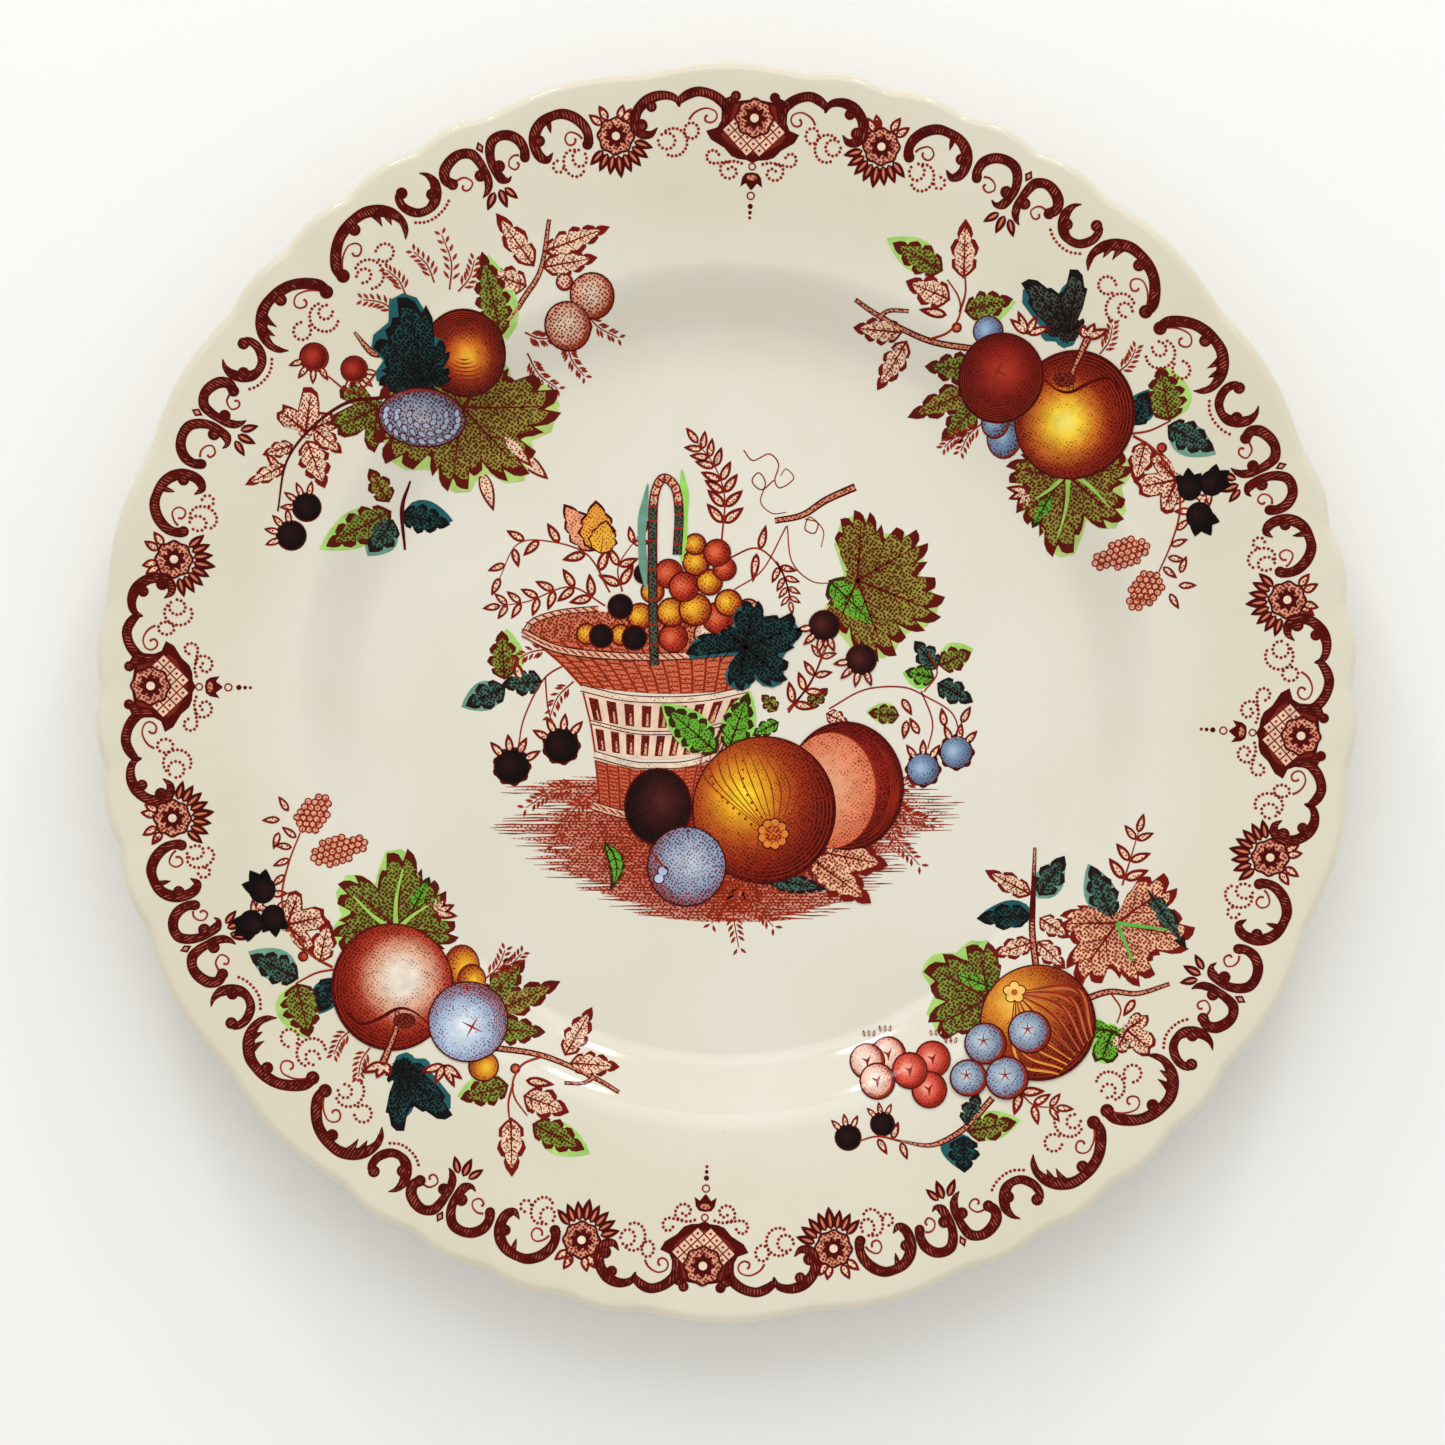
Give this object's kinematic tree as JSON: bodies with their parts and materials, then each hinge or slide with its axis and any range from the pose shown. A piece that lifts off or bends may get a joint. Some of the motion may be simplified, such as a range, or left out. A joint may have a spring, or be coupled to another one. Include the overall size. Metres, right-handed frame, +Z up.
{
  "type": "china dinner plate",
  "caption": "Round china dinner plate with a scalloped, fluted rim, a sunken well and a foot ring, printed with a scroll border, fruit sprays and a fruit basket.",
  "frame": {"origin": "centre of the plane that the foot ring stands on", "axes": "+Z up out of the face of the plate, +Y towards the top of the picture in the well, +X towards its right"},
  "size_m": [0.266, 0.267, 0.0242],
  "materials": {
    "clay": "fired, unglazed",
    "glaze": "glossy cream glaze",
    "ink": "fired red-brown printing ink, glossy",
    "enamels": "fired print with coloured enamels, glossy"
  },
  "bodies": {
    "root": {"biscuit_body": "clay", "glaze_coat": "glaze", "footwell_glaze": "glaze", "centre_transfer": "enamels", "border_transfer_east": "ink", "border_transfer_north": "ink", "border_transfer_west": "ink", "border_transfer_south": "ink", "spray_transfer_ne": "enamels", "spray_transfer_nw": "enamels", "spray_transfer_sw": "enamels", "spray_transfer_se": "enamels", "backstamp_transfer": "ink"}
  },
  "joints": []
}
